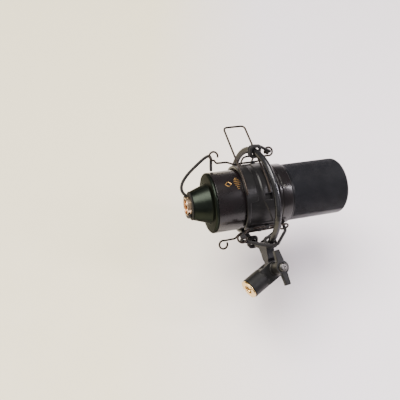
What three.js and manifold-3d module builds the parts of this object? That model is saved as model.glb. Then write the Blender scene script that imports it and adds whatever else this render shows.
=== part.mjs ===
// A large-diaphragm studio condenser microphone, clamped in an elastic shock mount
// whose ring hangs on a swivel stand adapter. Millimetres, +Z up.
// The origin is the centre of the stand thread's mouth, and the thread's axis runs along Y.
import * as THREE from 'three';
import { mergeVertices } from 'three/addons/utils/BufferGeometryUtils.js';
import Module from 'manifold-3d';

const wasm = await Module();
wasm.setup();

// ---------------------------------------------------------------- driving dimensions

const GAP = 0.3;
const DEGREE = Math.PI / 180;

// Swivel stand adapter.
const PIVOT_REACH = 32.4;
const FORK_ROLL = 25.5 * DEGREE;
const SWIVEL_BEND = 66 * DEGREE;
const SLEEVE_RADIUS = 9.6;
const SLEEVE_LENGTH = 17.5;
const SLEEVE_BORE = 8.2;
const BORE_DEPTH = 13;
const EAR_RADIUS = 8.0;
const EAR_OUTSIDE = 8.6;
const TONGUE_HALF = 4.2;
const BOLT_RADIUS = 2.9;
const BOLT_HOLE = 3.25;
const FLANGE_RADIUS = 9.1;
const FLANGE_THICKNESS = 1.6;
const ADAPTER_RADIUS = 7.9;
const ADAPTER_LENGTH = 11.5;
const STAND_THREAD_RADIUS = 4.4;
const LEVER_ANGLE = 161 * DEGREE;
const LEVER_HALF_LENGTH = 16.8;

// Outer ring.
const RING_OUTSIDE = 52.2;
const RING_RADIAL = 6.6;
const RING_AXIAL = 6.2;
const RING_CORNER = 2.2;
const RING_TO_PIVOT = 73.3;
const EYE_RADIUS = 8;

// Cradle: it hangs a little off the ring's centre, and tilted, on its elastics.
const CRADLE_RISE = 1.5;
const CRADLE_DROP = -5.5;
const CRADLE_TILT_X = -4.7 * DEGREE;
const CRADLE_TILT_Y = -2.35 * DEGREE;
const JAW_INSIDE = 31.3;
const JAW_OUTSIDE = 33.7;
const JAW_LOW = -13.5;
const JAW_HIGH = 16.5;
const PAD_INSIDE = 30.3;
const HINGE_ANGLE = -18 * DEGREE;
const HINGE_RADIUS = 35.6;
const PIN_RADIUS = 1.2;
const KNUCKLE_RADIUS = 2.6;
const WIRE = 1.0;
const WIRE_TRACK = JAW_OUTSIDE + GAP + WIRE;
const CURL_RADIUS = 4.2;
const ELASTIC = 1.45;

// Microphone, measured along its axis from the shoulder at its tail end.
const SHOULDER_TO_CRADLE = 43;
const FRONT_ANGLE = 82 * DEGREE;
const BODY_RADIUS = 30;
const TUBE_START = 3.3;
const TUBE_END = 64.2;
const COLLAR_END = 78;
const HEAD_RADIUS = 29;
const HEAD_FILLET = 3.5;
const HEAD_END = 140.5;
const FRAME_HALF_WIDTH = 6.8;
const CONE_BASE = 20;
const CONE_END_RADIUS = 14;
const CONE_LENGTH = 16.8;
const BARREL_RADIUS = 8.8;
const BARREL_BORE = 8.0;
const BARREL_END = -22;
const CAPSULE_HEIGHT = 108;

// ---------------------------------------------------------------- finishes

const finish = (color, roughness, metalness) => ({ color, roughness, metalness });
const GLOSS_BLACK = finish(0x0e0c0d, 0.25, 0.5);
const SATIN_BLACK = finish(0x141414, 0.45, 0.6);
const GREEN_BLACK = finish(0x1d211d, 0.4, 0.6);
const MESH_BLACK = finish(0x101218, 0.7, 0.5);
const WIRE_BLACK = finish(0x1a1512, 0.4, 0.8);
const PLASTIC = finish(0x161617, 0.6, 0.0);
const RUBBER = finish(0x0b0b0b, 0.9, 0.0);
const BRASS = finish(0xb98a45, 0.3, 1.0);
const GOLD = finish(0xd39a5c, 0.2, 1.0);
const STEEL = finish(0x8d8f92, 0.35, 1.0);
const BOARD = finish(0x1c5b34, 0.6, 0.0);
const FILM = finish(0xd8b35a, 0.2, 0.9);

// ---------------------------------------------------------------- solid helpers

// Merges shared vertices, drops slivers and turns the faces outwards.
function closed(geometry) {
  const bare = geometry.clone();
  bare.deleteAttribute('normal');
  bare.deleteAttribute('uv');
  const merged = mergeVertices(bare, 1e-4);
  const place = merged.attributes.position;
  const kept = [];
  let volume = 0;
  const corner = [new THREE.Vector3(), new THREE.Vector3(), new THREE.Vector3()];
  for (let i = 0; i < merged.index.count; i += 3) {
    const [a, b, c] = [0, 1, 2].map((k) => merged.index.getX(i + k));
    if (a === b || b === c || c === a) continue;
    [a, b, c].forEach((v, k) => corner[k].fromBufferAttribute(place, v));
    volume += corner[0].dot(corner[1].clone().cross(corner[2]));
    kept.push(a, b, c);
  }
  if (volume < 0) {
    for (let i = 0; i < kept.length; i += 3) {
      [kept[i], kept[i + 1]] = [kept[i + 1], kept[i]];
    }
  }
  merged.setIndex(kept);
  return merged;
}

function toManifold(geometry) {
  const body = closed(geometry);
  const vertProperties = new Float32Array(body.attributes.position.array);
  const triVerts = new Uint32Array(body.index.array);
  return new wasm.Manifold(new wasm.Mesh({ numProp: 3, vertProperties, triVerts }));
}

function toGeometry(manifold) {
  const mesh = manifold.getMesh();
  const geometry = new THREE.BufferGeometry();
  geometry.setAttribute('position', new THREE.BufferAttribute(mesh.vertProperties, 3));
  geometry.setIndex(new THREE.BufferAttribute(mesh.triVerts, 1));
  geometry.computeVertexNormals();
  return geometry;
}

function join(first, ...others) {
  const start = toManifold(first);
  return toGeometry(others.reduce((sum, other) => sum.add(toManifold(other)), start));
}

function cut(first, ...tools) {
  const start = toManifold(first);
  return toGeometry(tools.reduce((rest, tool) => rest.subtract(toManifold(tool)), start));
}

function common(first, second) {
  return toGeometry(toManifold(first).intersect(toManifold(second)));
}

// A turned solid about Z, from [radius, height] points that start and end on the axis or close.
function turned(profile, segments = 40) {
  const points = profile.map(([r, z]) => new THREE.Vector2(r, z));
  return closed(new THREE.LatheGeometry(points, segments).rotateX(Math.PI / 2));
}

function ringOf(inside, outside, low, high, segments = 40) {
  const corners = [[inside, low], [outside, low], [outside, high], [inside, high], [inside, low]];
  return turned(corners, segments);
}

function rod(radius, low, high, segments = 24) {
  const length = high - low;
  const cylinder = new THREE.CylinderGeometry(radius, radius, length, segments);
  return closed(cylinder.rotateX(Math.PI / 2).translate(0, 0, low + length / 2));
}

function block(low, high) {
  const size = high.map((h, k) => h - low[k]);
  const middle = high.map((h, k) => (h + low[k]) / 2);
  return closed(new THREE.BoxGeometry(...size).translate(...middle));
}

// An outline in XY, pulled up from low to high.
function slab(outline, low, high, curveSegments = 10) {
  const options = { depth: high - low, bevelEnabled: false, curveSegments };
  return closed(new THREE.ExtrudeGeometry(outline, options).translate(0, 0, low));
}

function polygon(corners) {
  return new THREE.Shape(corners.map(([x, y]) => new THREE.Vector2(x, y)));
}

// Part of a hollow cylinder, between two angles about Z.
function shellArc(inside, outside, from, to, low, high, segments) {
  const outline = new THREE.Shape();
  outline.absarc(0, 0, outside, from, to, false);
  outline.absarc(0, 0, inside, to, from, true);
  return slab(outline, low, high, segments);
}

// A path through points, with one section at each point.
class Route extends THREE.Curve {
  constructor(points) {
    super();
    this.points = points;
  }

  getPoint(t, target = new THREE.Vector3()) {
    const last = this.points.length - 1;
    const index = Math.min(Math.floor(t * last), last - 1);
    return target.lerpVectors(this.points[index], this.points[index + 1], t * last - index);
  }

  getPointAt(t, target) {
    return this.getPoint(t, target);
  }

  getTangentAt(t, target) {
    return this.getTangent(t, target);
  }
}

function tube(points, radius, sides = 8) {
  const corners = [];
  for (let i = 0; i < sides; i += 1) {
    const angle = (i / sides) * 2 * Math.PI;
    corners.push([radius * Math.cos(angle), radius * Math.sin(angle)]);
  }
  const extrudePath = new Route(points);
  const options = { steps: points.length - 1, extrudePath, bevelEnabled: false };
  return closed(new THREE.ExtrudeGeometry(polygon(corners), options));
}

// Replaces each inner corner of a polyline by a bend.
function bent(points, radius, pieces = 4) {
  const result = [points[0].clone()];
  for (let i = 1; i < points.length - 1; i += 1) {
    const before = points[i - 1].clone().sub(points[i]);
    const after = points[i + 1].clone().sub(points[i]);
    const reach = Math.min(radius, before.length() * 0.45, after.length() * 0.45);
    const start = points[i].clone().addScaledVector(before.normalize(), reach);
    const end = points[i].clone().addScaledVector(after.normalize(), reach);
    const curve = new THREE.QuadraticBezierCurve3(start, points[i], end);
    result.push(...curve.getPoints(pieces));
  }
  result.push(points[points.length - 1].clone());
  return result;
}

const at = (x, y, z) => new THREE.Vector3(x, y, z);

function polar(radius, angle, z) {
  return at(radius * Math.cos(angle), radius * Math.sin(angle), z);
}

function put(group, name, geometry, look) {
  const mesh = new THREE.Mesh(geometry, new THREE.MeshStandardMaterial(look));
  mesh.name = name;
  group.add(mesh);
  return mesh;
}

// ---------------------------------------------------------------- stand adapter
// Frame: Z is the hinge axis, the origin is the pivot, and the sleeve runs towards -Y.

const part = new THREE.Group();
const swivel = new THREE.Group();
swivel.position.set(0, PIVOT_REACH, 0);
swivel.rotation.y = FORK_ROLL;
part.add(swivel);

const FLANGE_FACE = -PIVOT_REACH;
const SLEEVE_MOUTH = FLANGE_FACE + FLANGE_THICKNESS + GAP;
const SLEEVE_BACK = SLEEVE_MOUTH + SLEEVE_LENGTH;

// Turns a solid made about Z so that its axis is Y.
const alongY = (geometry) => geometry.rotateX(-Math.PI / 2);

function socketFork() {
  const sleeve = alongY(rod(SLEEVE_RADIUS, SLEEVE_MOUTH, SLEEVE_BACK, 40));
  const outline = new THREE.Shape();
  outline.moveTo(-EAR_RADIUS, SLEEVE_BACK - 2);
  outline.lineTo(EAR_RADIUS, SLEEVE_BACK - 2);
  outline.lineTo(EAR_RADIUS, 0);
  outline.absarc(0, 0, EAR_RADIUS, 0, Math.PI, false);
  const ears = slab(outline, -EAR_OUTSIDE, EAR_OUTSIDE, 12);
  const slot = block([-12, -EYE_RADIUS - 1.2, -TONGUE_HALF - GAP], [12, 12, TONGUE_HALF + GAP]);
  const bore = alongY(rod(SLEEVE_BORE, SLEEVE_MOUTH - 1, SLEEVE_MOUTH + BORE_DEPTH, 40));
  return cut(join(sleeve, ears), slot, bore, rod(BOLT_HOLE, -12, 12));
}

function threadAdapter() {
  const back = FLANGE_FACE + ADAPTER_LENGTH;
  const step = FLANGE_FACE + FLANGE_THICKNESS;
  const body = alongY(turned([
    [STAND_THREAD_RADIUS, FLANGE_FACE],
    [FLANGE_RADIUS, FLANGE_FACE],
    [FLANGE_RADIUS, step],
    [ADAPTER_RADIUS, step],
    [ADAPTER_RADIUS, back],
    [STAND_THREAD_RADIUS, back],
    [STAND_THREAD_RADIUS, FLANGE_FACE],
  ], 40));
  const slot = block([-0.7, FLANGE_FACE - 1, -12], [0.7, FLANGE_FACE + 1, 12]);
  return cut(body, slot);
}

function hexNut() {
  const nut = closed(new THREE.CylinderGeometry(5.6, 5.6, 3.8, 6).rotateX(Math.PI / 2));
  nut.translate(0, 0, -EAR_OUTSIDE - GAP - 1.9);
  return cut(nut, rod(BOLT_HOLE, -20, 0));
}

const WASHER_TOP = EAR_OUTSIDE + GAP + 1.2;
const HUB_BOTTOM = WASHER_TOP + GAP;
const BAR_BOTTOM = HUB_BOTTOM + 8.2;
const BAR_TOP = BAR_BOTTOM + 4.6;

function clampBolt() {
  const head = BAR_TOP + GAP;
  return turned([
    [0, -14.2],
    [BOLT_RADIUS - 0.5, -14.2],
    [BOLT_RADIUS, -13.6],
    [BOLT_RADIUS, head],
    [4.3, head],
    [4.3, head + 1.2],
    [3.2, head + 2.4],
    [0, head + 2.8],
  ], 24);
}

// A T lever: one arm wide, the other narrow.
function clampLever() {
  const wide = polygon([[-2, -4.4], [LEVER_HALF_LENGTH, -2.5],
    [LEVER_HALF_LENGTH, 2.5], [-2, 4.4]]);
  const narrow = polygon([[2, -3.2], [2, 3.2],
    [-LEVER_HALF_LENGTH, 2.5], [-LEVER_HALF_LENGTH, -2.5]]);
  const bar = join(slab(wide, BAR_BOTTOM, BAR_TOP), slab(narrow, BAR_BOTTOM, BAR_TOP));
  const hub = rod(6.4, HUB_BOTTOM, BAR_TOP, 32);
  return cut(join(hub, bar), rod(BOLT_HOLE, 0, 40));
}

put(swivel, 'socket_fork', socketFork(), PLASTIC);
put(swivel, 'thread_adapter', threadAdapter(), BRASS);
put(swivel, 'hex_nut', hexNut(), STEEL);
put(swivel, 'bolt_washer', ringOf(BOLT_HOLE, 6.9, EAR_OUTSIDE + GAP, WASHER_TOP, 32), STEEL);
const clamp = new THREE.Group();
clamp.rotation.z = LEVER_ANGLE;
swivel.add(clamp);
put(clamp, 'clamp_bolt', clampBolt(), STEEL);
put(clamp, 'clamp_lever', clampLever(), PLASTIC);

// ---------------------------------------------------------------- outer ring
// Frame: Z is the ring's axis towards the microphone's head, and the neck is at -X.

const tilt = new THREE.Group();
tilt.rotation.z = Math.PI / 2 + SWIVEL_BEND;
swivel.add(tilt);
const ring = new THREE.Group();
ring.position.set(RING_TO_PIVOT, 0, 0);
ring.rotation.x = Math.PI / 2;
tilt.add(ring);

function ringCasting() {
  const middle = RING_OUTSIDE - RING_RADIAL / 2;
  const across = RING_RADIAL / 2 - RING_CORNER;
  const along = RING_AXIAL / 2 - RING_CORNER;
  const profile = [];
  for (let quarter = 0; quarter < 4; quarter += 1) {
    const toRight = quarter === 0 || quarter === 3 ? 1 : -1;
    const toTop = quarter < 2 ? 1 : -1;
    for (let step = 0; step <= 1; step += 1) {
      const angle = (quarter + step) * Math.PI / 2;
      const r = middle + toRight * across + RING_CORNER * Math.cos(angle);
      profile.push([r, toTop * along + RING_CORNER * Math.sin(angle)]);
    }
  }
  profile.push(profile[0]);
  const neck = polygon([[-47.5, -9], [-51, -8.6], [-57, -7], [-62.4, -6.2], [-64.6, -TONGUE_HALF],
    [-RING_TO_PIVOT, -TONGUE_HALF], [-RING_TO_PIVOT, TONGUE_HALF], [-64.6, TONGUE_HALF],
    [-62.4, 6.2], [-57, 7], [-51, 8.6], [-47.5, 9]]);
  const eye = alongY(rod(EYE_RADIUS, -TONGUE_HALF, TONGUE_HALF, 32)).translate(-RING_TO_PIVOT, 0, 0);
  const hole = alongY(rod(BOLT_HOLE, -12, 12)).translate(-RING_TO_PIVOT, 0, 0);
  const casting = join(turned(profile, 64), slab(neck, -4.2, 4.2), eye);
  return cut(casting, hole);
}

put(ring, 'ring_casting', ringCasting(), SATIN_BLACK);

// ---------------------------------------------------------------- cradle
// Frame: Z is the microphone's axis, towards its head.

const cradle = new THREE.Group();
cradle.position.set(CRADLE_RISE, 0, CRADLE_DROP);
cradle.rotation.set(CRADLE_TILT_X, CRADLE_TILT_Y, 0);
cradle.updateMatrix();
ring.add(cradle);

const mirrorY = new THREE.Matrix4().makeScale(1, -1, 1);
const JAW_FROM = 9 * DEGREE;
const FRONT_JAW_TO = 186 * DEGREE;
const REAR_JAW_TO = 158 * DEGREE;
const WINDOW_ANGLE = 122 * DEGREE;
const KNUCKLES = { front: [3.5, 6.2], rear: [10.8, 13.5] };

// Frame of the jaws: the hinge is at +X, and the front jaw lies towards +Y.
const jaws = new THREE.Group();
jaws.rotation.z = HINGE_ANGLE;
cradle.add(jaws);

function jaw(to, [low, high]) {
  const shell = shellArc(JAW_INSIDE, JAW_OUTSIDE, JAW_FROM, to, JAW_LOW, JAW_HIGH, 20);
  const knuckle = rod(KNUCKLE_RADIUS, low, high, 16).translate(HINGE_RADIUS, 0, 0);
  const web = slab(polygon([[HINGE_RADIUS, 0], [HINGE_RADIUS, KNUCKLE_RADIUS], [33.2, 8.2],
    [31.8, 8], [32.2, 5.4], [33.6, 1.6]]), low, high);
  const hole = rod(PIN_RADIUS + GAP, -20, 20, 16).translate(HINGE_RADIUS, 0, 0);
  return cut(join(shell, knuckle, web), hole);
}

function pad(to) {
  const outside = JAW_INSIDE - GAP;
  const low = JAW_LOW + 0.5;
  const high = JAW_HIGH - 0.5;
  return shellArc(PAD_INSIDE, outside, 16 * DEGREE, to - 2 * DEGREE, low, high, 18);
}

const rearSide = (geometry) => closed(geometry.applyMatrix4(mirrorY));

function hingePin() {
  const pin = turned([
    [0, 2],
    [2.2, 2],
    [2.2, 3.2],
    [PIN_RADIUS, 3.2],
    [PIN_RADIUS, 14.2],
    [PIN_RADIUS - 0.4, 14.6],
    [0, 14.6],
  ], 16);
  return pin.translate(HINGE_RADIUS, 0, 0);
}

function torsionSpring() {
  const low = KNUCKLES.front[1] + GAP;
  const high = KNUCKLES.rear[0] - GAP;
  return ringOf(PIN_RADIUS + GAP, KNUCKLE_RADIUS, low, high, 16).translate(HINGE_RADIUS, 0, 0);
}

// A square window in the front jaw, near its edge at the head end.
function frontJaw() {
  const opening = block([28, -2.9, 4.8], [36, 2.9, 12]).rotateZ(WINDOW_ANGLE);
  return cut(jaw(FRONT_JAW_TO, KNUCKLES.front), opening);
}

put(jaws, 'jaw_front', frontJaw(), SATIN_BLACK);
put(jaws, 'jaw_rear', rearSide(jaw(REAR_JAW_TO, KNUCKLES.rear)), SATIN_BLACK);
put(jaws, 'pad_front', pad(FRONT_JAW_TO), RUBBER);
put(jaws, 'pad_rear', rearSide(pad(REAR_JAW_TO)), RUBBER);
put(jaws, 'hinge_pin', hingePin(), STEEL);
put(jaws, 'torsion_spring', torsionSpring(), STEEL);

// A squeeze handle is a wire loop: two legs lie on the jaw, leave it at the root and meet far out.
const LONG_HANDLE = {
  root: 72 * DEGREE,
  wrap: 96 * DEGREE,
  low: -12.7,
  high: 9.7,
  stops: [[74, 6.6]],
};
const SHORT_HANDLE = {
  root: -45 * DEGREE,
  wrap: -70 * DEGREE,
  low: 3.2,
  high: 15.2,
  stops: [[38.6, -11.4], [42, 3]],
};

function handle({ root, wrap, low, high, stops }) {
  const steps = 3;
  const leg = (z) => {
    const points = [];
    for (let i = 0; i < steps; i += 1) {
      points.push(polar(WIRE_TRACK, wrap + (root - wrap) * (i / steps), z));
    }
    return points;
  };
  const loop = bent([
    polar(WIRE_TRACK, root, low),
    ...stops.map(([x, y]) => at(x, y, low)),
    ...stops.map(([x, y]) => at(x, y, high)).reverse(),
    polar(WIRE_TRACK, root, high),
  ], 4.5);
  return tube([...leg(low), ...loop, ...leg(high).reverse()], WIRE, 6);
}

// Hook wires lie along the jaws, and each end curls into an open eye.
// angle is the wire's place round the jaws. Of each end, reach is the eye's height, away is how
// far the eye stands off the wire's track, arm is how far the straight stretch before it does,
// and lean turns it all sideways.
const HOOKS = {
  front_top: {
    angle: 17 * DEGREE,
    tail: { reach: -31, away: 10.3, arm: 2.8, lean: 0 },
    head: { reach: 27, away: 8.6, arm: 4.4, lean: 0 },
  },
  front_bottom: {
    angle: 161 * DEGREE,
    tail: { reach: -20, away: 8.6, arm: 4.4, lean: 0 },
    head: { reach: 28, away: 5.4, arm: 1.2, lean: 85 * DEGREE },
  },
  rear_top: {
    angle: -76 * DEGREE,
    tail: { reach: -31, away: 8.6, arm: 4.4, lean: 0 },
    head: { reach: 30, away: 8.6, arm: 4.4, lean: 0 },
  },
  rear_bottom: {
    angle: -161 * DEGREE,
    tail: { reach: -31, away: 8.6, arm: 4.4, lean: 0 },
    head: { reach: 28, away: 5.4, arm: 1.2, lean: 85 * DEGREE },
  },
};

function hookPlace(angle, lean, away, z) {
  return polar(WIRE_TRACK, angle, z).add(polar(away, angle + lean, 0));
}

function hookArm(angle, { reach, away, arm, lean }) {
  const side = Math.sign(reach);
  const edge = side > 0 ? JAW_HIGH : -JAW_LOW;
  const shelf = Math.min(edge, Math.abs(reach) - 8);
  const foot = Math.min(shelf + 4.5, Math.abs(reach) - 2.5);
  const points = [
    hookPlace(angle, lean, 0, side * (shelf - 3)),
    hookPlace(angle, lean, 0.6, side * shelf),
    hookPlace(angle, lean, arm, side * foot),
    hookPlace(angle, lean, arm + 0.2, reach - side * 1.8),
  ];
  const steps = 9;
  for (let i = 0; i <= steps; i += 1) {
    const turn = -Math.PI / 2 - (i / steps) * 285 * DEGREE;
    const out = away + CURL_RADIUS * Math.sin(turn);
    points.push(hookPlace(angle, lean, out, reach - side * CURL_RADIUS * Math.cos(turn)));
  }
  return points;
}

function hookWire({ angle, tail, head }) {
  return tube([...hookArm(angle, tail).reverse(), ...hookArm(angle, head)], WIRE, 6);
}

put(cradle, 'handle_long', handle(LONG_HANDLE), WIRE_BLACK);
put(cradle, 'handle_short', handle(SHORT_HANDLE), WIRE_BLACK);
for (const [name, hook] of Object.entries(HOOKS)) {
  put(cradle, `hook_wire_${name}`, hookWire(hook), WIRE_BLACK);
}

// ---------------------------------------------------------------- elastics
// Each band is looped round the ring. Two of them reach from there to the eyes at both ends of
// their hook wire, and the other two only to the eye at the head end.

const BANDS = {
  front_top: { anchor: 33 * DEGREE, both: false },
  front_bottom: { anchor: 162 * DEGREE, both: true },
  rear_top: { anchor: -92 * DEGREE, both: true },
  rear_bottom: { anchor: -149 * DEGREE, both: false },
};

// The end of a band, in the ring's frame: through the hook's eye and out beside it.
function bandEnd(angle, { reach, away, lean }, anchor) {
  const eye = hookPlace(angle, lean, away, reach);
  const across = polar(1, angle + lean + Math.PI / 2, 0);
  const towards = Math.sign(across.dot(polar(RING_OUTSIDE, anchor, 0).sub(eye)));
  return [-3.2, 0, 4.4].map((d) => {
    return eye.clone().addScaledVector(across, d * towards).applyMatrix4(cradle.matrix);
  });
}

function elasticBand({ angle, tail, head }, { anchor, both }) {
  const over = RING_OUTSIDE + GAP + ELASTIC;
  const under = RING_OUTSIDE - RING_RADIAL - GAP - ELASTIC;
  const past = RING_AXIAL / 2 + GAP + ELASTIC;
  const lap = [past, 0, -past].map((z) => polar(over - Math.abs(z) / 10, anchor, z));
  const tuck = [polar(under + 0.5, anchor, -past), polar(under, anchor, 1.5)];
  const far = both ? bandEnd(angle, tail, anchor).reverse() : tuck;
  return tube(bent([...bandEnd(angle, head, anchor), ...lap, ...far], 3, 2), ELASTIC, 7);
}

for (const [name, band] of Object.entries(BANDS)) {
  put(ring, `elastic_${name}`, elasticBand(HOOKS[name], band), RUBBER);
}

// ---------------------------------------------------------------- microphone
// Frame: Z runs from the shoulder to the head, and +X is the address side.

const microphone = new THREE.Group();
microphone.position.set(0, 0, -SHOULDER_TO_CRADLE);
microphone.rotation.z = FRONT_ANGLE;
cradle.add(microphone);

function tailCap() {
  return turned([
    [CONE_END_RADIUS, -CONE_LENGTH],
    [CONE_BASE, 0],
    [BODY_RADIUS - 1.2, 0],
    [BODY_RADIUS, 1.2],
    [BODY_RADIUS, TUBE_START - GAP],
    [BODY_RADIUS - 2.4, TUBE_START - GAP],
    [BODY_RADIUS - 2.4, 2],
    [CONE_BASE - 1.6, 2],
    [CONE_END_RADIUS - 2, -CONE_LENGTH],
    [CONE_END_RADIUS, -CONE_LENGTH],
  ]);
}

function tailRim() {
  const top = -CONE_LENGTH - GAP;
  const inside = BARREL_RADIUS + GAP;
  return turned([
    [inside, top],
    [inside, top - 0.9],
    [CONE_END_RADIUS - 0.4, top - 0.9],
    [CONE_END_RADIUS + 0.3, top - 0.4],
    [CONE_END_RADIUS + 0.3, top],
    [inside, top],
  ]);
}

const PIN_CIRCLE = 3.6;
const CONTACT_RADIUS = 1.2;

function contactPlaces() {
  return [0, 120, 240].map((degrees) => polar(PIN_CIRCLE, degrees * DEGREE, 0));
}

function xlrInsert() {
  const hole = rod(CONTACT_RADIUS + GAP, -30, 0, 12);
  const holes = contactPlaces().map((p) => hole.clone().translate(p.x, p.y, 0));
  return cut(rod(BARREL_BORE - GAP, -13, -7, 32), ...holes);
}

put(microphone, 'tail_cap', tailCap(), GREEN_BLACK);
put(microphone, 'tail_rim', tailRim(), RUBBER);
put(microphone, 'xlr_barrel', ringOf(BARREL_BORE, BARREL_RADIUS, BARREL_END, -6), GOLD);
put(microphone, 'xlr_insert', xlrInsert(), PLASTIC);
contactPlaces().forEach((p, i) => {
  put(microphone, `xlr_pin_${i + 1}`, rod(CONTACT_RADIUS, -21, -5, 12).translate(p.x, p.y, 0), GOLD);
});

// Inside the body: a base plate and a top plate tied by two rails that carry the board.
function chassis() {
  const tubeBore = BODY_RADIUS - 1.8;
  put(microphone, 'body_tube', ringOf(tubeBore, BODY_RADIUS, TUBE_START, TUBE_END, 48), GLOSS_BLACK);
  put(microphone, 'chassis_base', ringOf(9, tubeBore - 0.6, 6, 8), STEEL);
  put(microphone, 'head_base', ringOf(4.2, tubeBore - 0.6, 60, 62), STEEL);
  [-1, 1].forEach((side) => {
    const name = side < 0 ? 'chassis_rail_left' : 'chassis_rail_right';
    put(microphone, name, block([-2, side * 22 - 1.5, 8.3], [2, side * 22 + 1.5, 59.7]), STEEL);
  });
  put(microphone, 'circuit_board', block([2.4, -19, 11], [4, 19, 57]), BOARD);
  put(microphone, 'coupling_capacitor', rod(4.5, 16, 30, 20).translate(8.9, 7, 0), PLASTIC);
  put(microphone, 'film_capacitor', block([4.4, -13, 34], [10, -4, 48]), FILM);
}
chassis();

const SCREW_ANGLES = [8, 128, 248];
const SCREW_HEIGHT = 71;

// A tool or fastener along +X, turned about Z and lifted to the screws' height.
function radialRod(radius, from, to, degrees) {
  const bar = rod(radius, from, to, 16).rotateY(Math.PI / 2);
  return bar.rotateZ(degrees * DEGREE).translate(0, 0, SCREW_HEIGHT);
}

function collarRing() {
  const low = TUBE_END + GAP;
  const outside = BODY_RADIUS + 0.6;
  const body = turned([
    [27.6, low],
    [outside - 0.5, low],
    [outside, low + 0.5],
    [outside, 67],
    [outside - 0.7, 67.5],
    [outside, 68],
    [outside, COLLAR_END - 0.8],
    [outside - 0.8, COLLAR_END],
    [27.6, COLLAR_END],
    [27.6, low],
  ]);
  return cut(body, ...SCREW_ANGLES.map((degrees) => radialRod(1.9, 20, 40, degrees)));
}

put(microphone, 'collar_ring', collarRing(), GLOSS_BLACK);
SCREW_ANGLES.forEach((degrees, i) => {
  put(microphone, `collar_screw_${i + 1}`, radialRod(1.6, 27, 30.3, degrees), STEEL);
});

// ---------------------------------------------------------------- capsule and head

function capsule() {
  const disc = (radius, from, to) => rod(radius, from, to, 40).rotateY(Math.PI / 2)
    .translate(0, 0, CAPSULE_HEIGHT);
  const clampRing = cut(disc(17, 4.3, 5.5), disc(14.2, 0, 10));
  put(microphone, 'capsule_stem', rod(4.8, 62.3, 85, 16), RUBBER);
  put(microphone, 'capsule_saddle', block([-3.5, -11, 85.3], [3.5, 11, 88.3]), PLASTIC);
  put(microphone, 'capsule_body', disc(17, -4, 4), BRASS);
  put(microphone, 'diaphragm', disc(13.9, 4.3, 4.8), FILM);
  put(microphone, 'capsule_clamp_ring', clampRing, BRASS);
}
capsule();

// The head's outer form, as a thin shell that is open at the bottom.
function headShell(outside, thickness, bottom, segments) {
  const steps = 4;
  const arc = (radius, corner, end) => {
    const points = [];
    for (let i = 0; i <= steps; i += 1) {
      const angle = (i / steps) * Math.PI / 2;
      const r = radius - corner + corner * Math.cos(angle);
      points.push([r, end - corner + corner * Math.sin(angle)]);
    }
    return points;
  };
  const top = HEAD_END - (HEAD_RADIUS - outside);
  return turned([
    [outside - thickness, bottom],
    [outside, bottom],
    ...arc(outside, HEAD_FILLET, top),
    [0, top],
    [0, top - thickness],
    ...arc(outside - thickness, HEAD_FILLET - thickness, top - thickness).reverse(),
    [outside - thickness, bottom],
  ], segments);
}

const HEAD_START = COLLAR_END + GAP;
const GRILLE_START = HEAD_START + 2.6;

function headFrame() {
  const shell = headShell(HEAD_RADIUS, 1.8, HEAD_START, 48);
  const half = FRAME_HALF_WIDTH;
  const strip = block([-half, -40, HEAD_START - 1], [half, 40, HEAD_END + 1]);
  const foot = ringOf(HEAD_RADIUS - 1.8, HEAD_RADIUS, HEAD_START, GRILLE_START - GAP, 48);
  return join(common(shell, strip), foot);
}

function grille(side) {
  const shell = headShell(HEAD_RADIUS - 0.2, 1.0, GRILLE_START, 48);
  const half = block([FRAME_HALF_WIDTH + GAP, -40, 60], [40, 40, 160]);
  if (side < 0) half.rotateZ(Math.PI);
  return common(shell, half);
}

put(microphone, 'head_frame', headFrame(), SATIN_BLACK);
put(microphone, 'front_grille', grille(1), MESH_BLACK);
put(microphone, 'rear_grille', grille(-1), MESH_BLACK);

// ---------------------------------------------------------------- retaining elastic
// It runs out beside the upper tail hook's eye, bows past the tail and passes behind the barrel.

const HOOK_SIDE = 10.5 * DEGREE - FRONT_ANGLE;
const BARREL_TURN = BARREL_RADIUS + GAP + ELASTIC + 0.1;

function retainingElastic() {
  const bow = [
    [32.2, 8.8], [36, 9.2], [40.2, 9.9], [43.6, 10.3], [45.8, 9.4], [46, 7], [43.6, 2.2],
    [37.4, -6.8], [30.4, -15.6], [24, -21.2], [18.6, -23.4], [14.2, -22.8], [11.4, -20.8],
  ].map(([outward, along]) => polar(outward, HOOK_SIDE, along));
  const wrap = [];
  for (let i = 0; i <= 12; i += 1) {
    const turn = HOOK_SIDE - (8 + i * 17) * DEGREE;
    wrap.push(polar(BARREL_TURN, turn, -20.3));
  }
  const curve = new THREE.CatmullRomCurve3([...bow, ...wrap], false, 'centripetal');
  return tube(curve.getSpacedPoints(42), ELASTIC, 7);
}

put(microphone, 'retaining_elastic', retainingElastic(), RUBBER);

export default part;
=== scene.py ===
"""A large-diaphragm condenser microphone in an elastic shock mount on a swivel stand adapter.

Shapes are worked out in millimetres in the part's own nested frames and placed in metres.
"""
import math

import bpy
from mathutils import Matrix, Vector


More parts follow.
